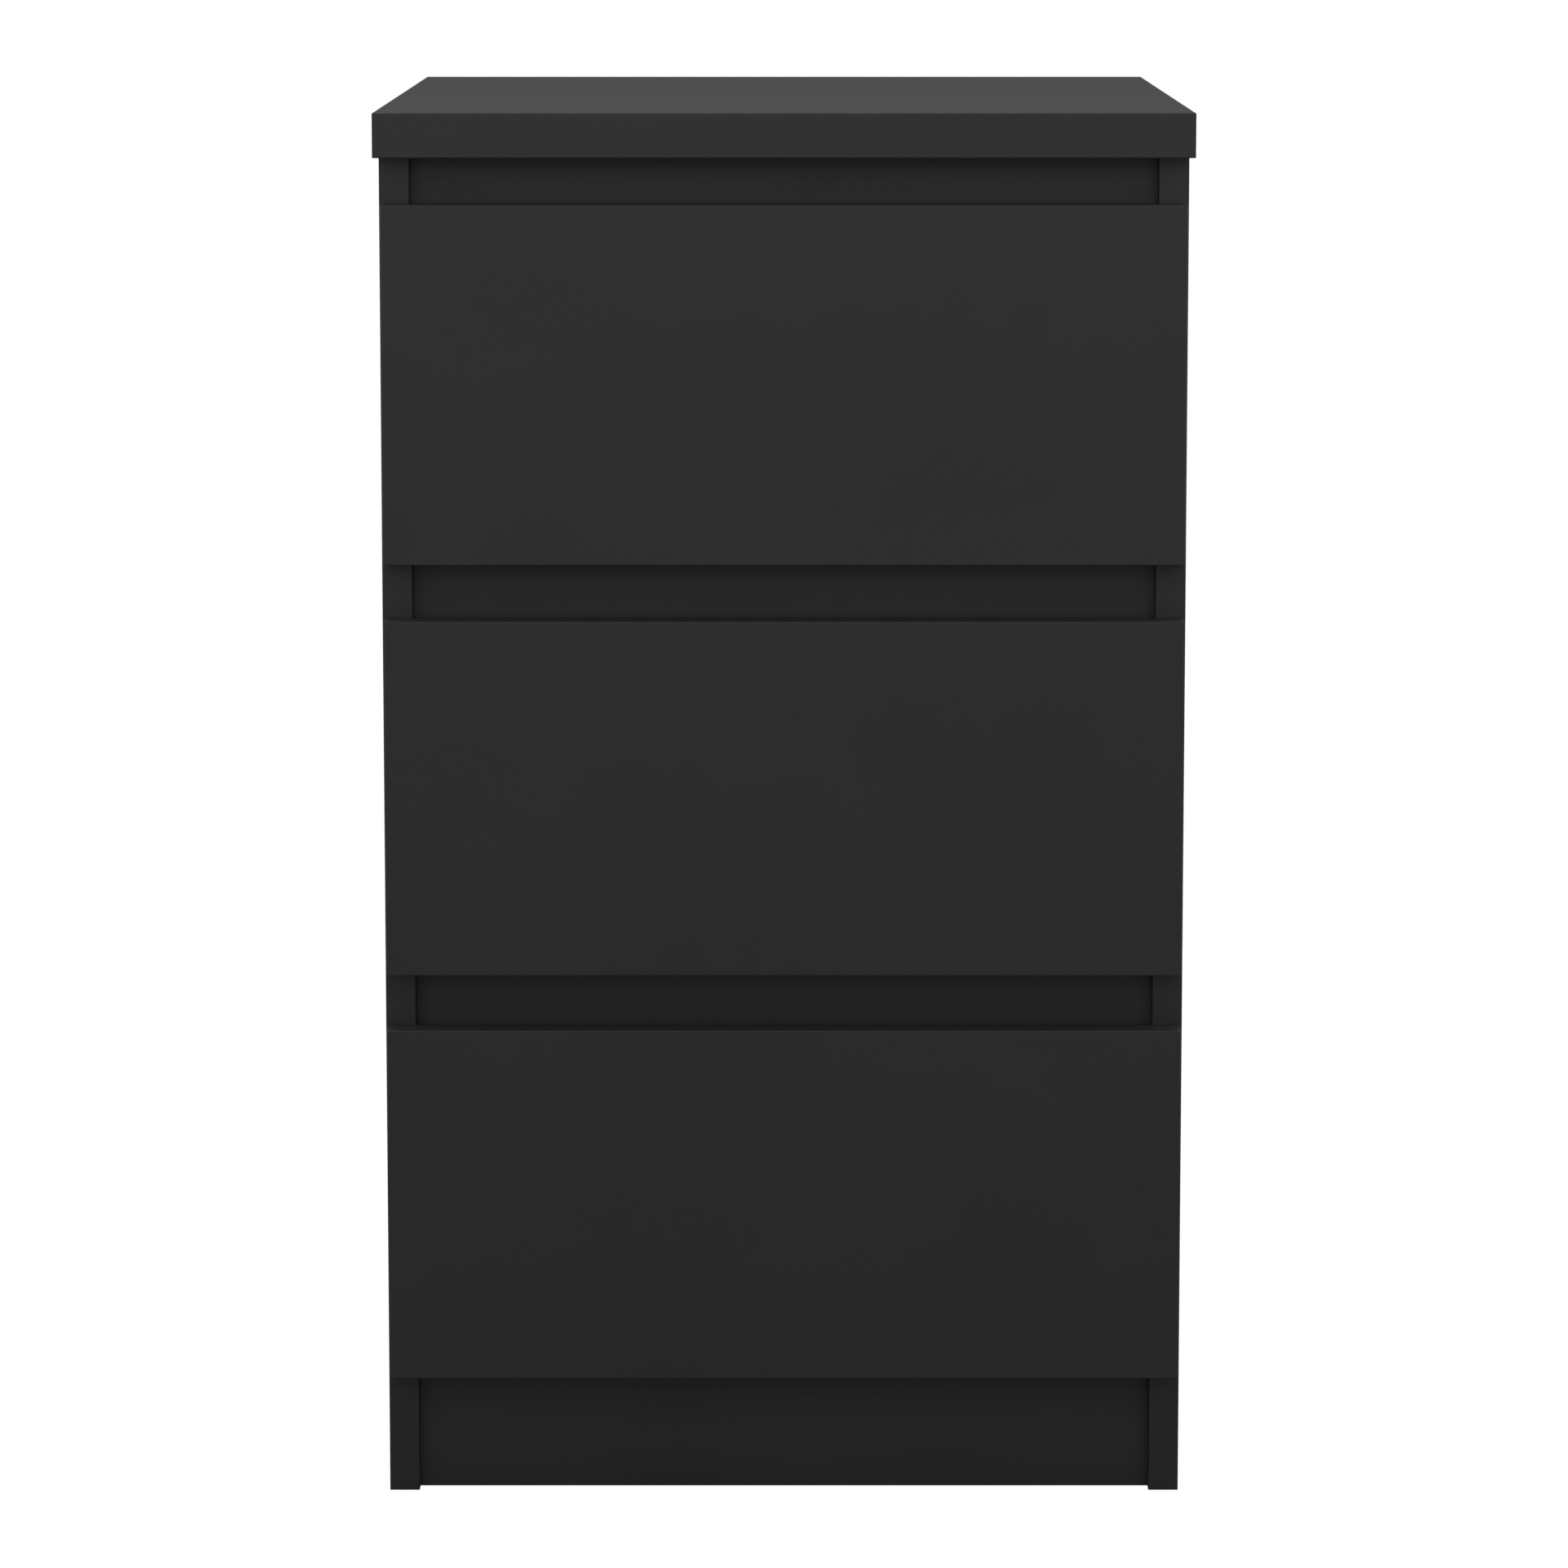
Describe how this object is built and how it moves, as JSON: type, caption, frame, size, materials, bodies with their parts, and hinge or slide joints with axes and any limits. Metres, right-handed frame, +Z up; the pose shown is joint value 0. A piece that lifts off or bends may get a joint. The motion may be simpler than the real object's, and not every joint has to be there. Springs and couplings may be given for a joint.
{
  "type": "nightstand with drawers",
  "caption": "Nightstand with an overhanging top board, side panels down to the floor, recessed rails and plinth, and handleless overlay drawers on roller runners.",
  "frame": {"origin": "on the floor, under the middle of the top board", "axes": "+X to the right of someone facing the drawers, +Y from the front to the back, +Z up"},
  "size_m": [0.404, 0.502, 0.697],
  "materials": {
    "melamine_board": "matte black melamine on particle board",
    "drawer_board": "grey foil on fibreboard",
    "back_hardboard": "hardboard, lacquered black inside and bare brown behind",
    "drawer_hardboard": "hardboard, lacquered grey inside and bare brown below",
    "runner_steel": "off-white powder coat",
    "zinc_fitting": "die-cast zinc",
    "zinc_screw": "bright zinc plate",
    "nylon": "natural nylon",
    "beech": "fluted beech"
  },
  "bodies": {
    "carcass": {"top_board": "melamine_board", "left_side_panel": "melamine_board", "right_side_panel": "melamine_board", "plinth": "melamine_board", "lower_mid_rail": "melamine_board", "upper_mid_rail": "melamine_board", "top_rail": "melamine_board", "bottom_panel": "melamine_board", "rear_stretcher": "melamine_board", "back_panel": "back_hardboard", "bottom_left_cabinet_runner": "runner_steel", "bottom_right_cabinet_runner": "runner_steel", "middle_left_cabinet_runner": "runner_steel", "middle_right_cabinet_runner": "runner_steel", "top_left_cabinet_runner": "runner_steel", "top_right_cabinet_runner": "runner_steel", "cabinet_runner_screws": "zinc_screw", "cam_bolts": "zinc_fitting", "cam_locks": "zinc_fitting", "dowels": "beech"},
    "bottom_drawer": {"bottom_drawer_front": "melamine_board", "bottom_drawer_left_side": "drawer_board", "bottom_drawer_right_side": "drawer_board", "bottom_drawer_back": "drawer_board", "bottom_drawer_bottom": "drawer_hardboard", "bottom_drawer_left_runner": "runner_steel", "bottom_drawer_right_runner": "runner_steel", "bottom_drawer_cam_bolts": "zinc_fitting", "bottom_drawer_cam_locks": "zinc_fitting", "bottom_drawer_back_screws": "zinc_screw", "bottom_drawer_runner_screws": "zinc_screw"},
    "bottom_drawer_rollers": {"bottom_drawer_rollers": "nylon"},
    "bottom_cabinet_rollers": {"bottom_cabinet_rollers": "nylon"},
    "middle_drawer": {"middle_drawer_front": "melamine_board", "middle_drawer_left_side": "drawer_board", "middle_drawer_right_side": "drawer_board", "middle_drawer_back": "drawer_board", "middle_drawer_bottom": "drawer_hardboard", "middle_drawer_left_runner": "runner_steel", "middle_drawer_right_runner": "runner_steel", "middle_drawer_cam_bolts": "zinc_fitting", "middle_drawer_cam_locks": "zinc_fitting", "middle_drawer_back_screws": "zinc_screw", "middle_drawer_runner_screws": "zinc_screw"},
    "middle_drawer_rollers": {"middle_drawer_rollers": "nylon"},
    "middle_cabinet_rollers": {"middle_cabinet_rollers": "nylon"},
    "top_drawer": {"top_drawer_front": "melamine_board", "top_drawer_left_side": "drawer_board", "top_drawer_right_side": "drawer_board", "top_drawer_back": "drawer_board", "top_drawer_bottom": "drawer_hardboard", "top_drawer_left_runner": "runner_steel", "top_drawer_right_runner": "runner_steel", "top_drawer_cam_bolts": "zinc_fitting", "top_drawer_cam_locks": "zinc_fitting", "top_drawer_back_screws": "zinc_screw", "top_drawer_runner_screws": "zinc_screw"},
    "top_drawer_rollers": {"top_drawer_rollers": "nylon"},
    "top_cabinet_rollers": {"top_cabinet_rollers": "nylon"}
  },
  "joints": [
    {"name": "bottom_drawer_slide", "type": "slide", "parent": "carcass", "child": "bottom_drawer", "axis": [0, -1, 0], "range_m": [0, 0.35]},
    {"name": "bottom_drawer_rollers_spin", "type": "hinge", "parent": "bottom_drawer", "child": "bottom_drawer_rollers", "pos_m": [0, 0.204, 0.0983], "axis": [1, 0, 0], "range_deg": [0, 2006]},
    {"name": "bottom_cabinet_rollers_spin", "type": "hinge", "parent": "carcass", "child": "bottom_cabinet_rollers", "pos_m": [0, -0.215, 0.0987], "axis": [1, 0, 0], "range_deg": [0, 2006]},
    {"name": "middle_drawer_slide", "type": "slide", "parent": "carcass", "child": "middle_drawer", "axis": [0, -1, 0], "range_m": [0, 0.35]},
    {"name": "middle_drawer_rollers_spin", "type": "hinge", "parent": "middle_drawer", "child": "middle_drawer_rollers", "pos_m": [0, 0.204, 0.3043], "axis": [1, 0, 0], "range_deg": [0, 2006]},
    {"name": "middle_cabinet_rollers_spin", "type": "hinge", "parent": "carcass", "child": "middle_cabinet_rollers", "pos_m": [0, -0.215, 0.3047], "axis": [1, 0, 0], "range_deg": [0, 2006]},
    {"name": "top_drawer_slide", "type": "slide", "parent": "carcass", "child": "top_drawer", "axis": [0, -1, 0], "range_m": [0, 0.35]},
    {"name": "top_drawer_rollers_spin", "type": "hinge", "parent": "top_drawer", "child": "top_drawer_rollers", "pos_m": [0, 0.204, 0.5103], "axis": [1, 0, 0], "range_deg": [0, 2006]},
    {"name": "top_cabinet_rollers_spin", "type": "hinge", "parent": "carcass", "child": "top_cabinet_rollers", "pos_m": [0, -0.215, 0.5107], "axis": [1, 0, 0], "range_deg": [0, 2006]}
  ],
  "couplings": [
    {"joint": "bottom_drawer_rollers_spin", "follows": "bottom_drawer_slide", "rad_per_m": 100},
    {"joint": "bottom_cabinet_rollers_spin", "follows": "bottom_drawer_slide", "rad_per_m": 100},
    {"joint": "middle_drawer_rollers_spin", "follows": "middle_drawer_slide", "rad_per_m": 100},
    {"joint": "middle_cabinet_rollers_spin", "follows": "middle_drawer_slide", "rad_per_m": 100},
    {"joint": "top_drawer_rollers_spin", "follows": "top_drawer_slide", "rad_per_m": 100},
    {"joint": "top_cabinet_rollers_spin", "follows": "top_drawer_slide", "rad_per_m": 100}
  ]
}
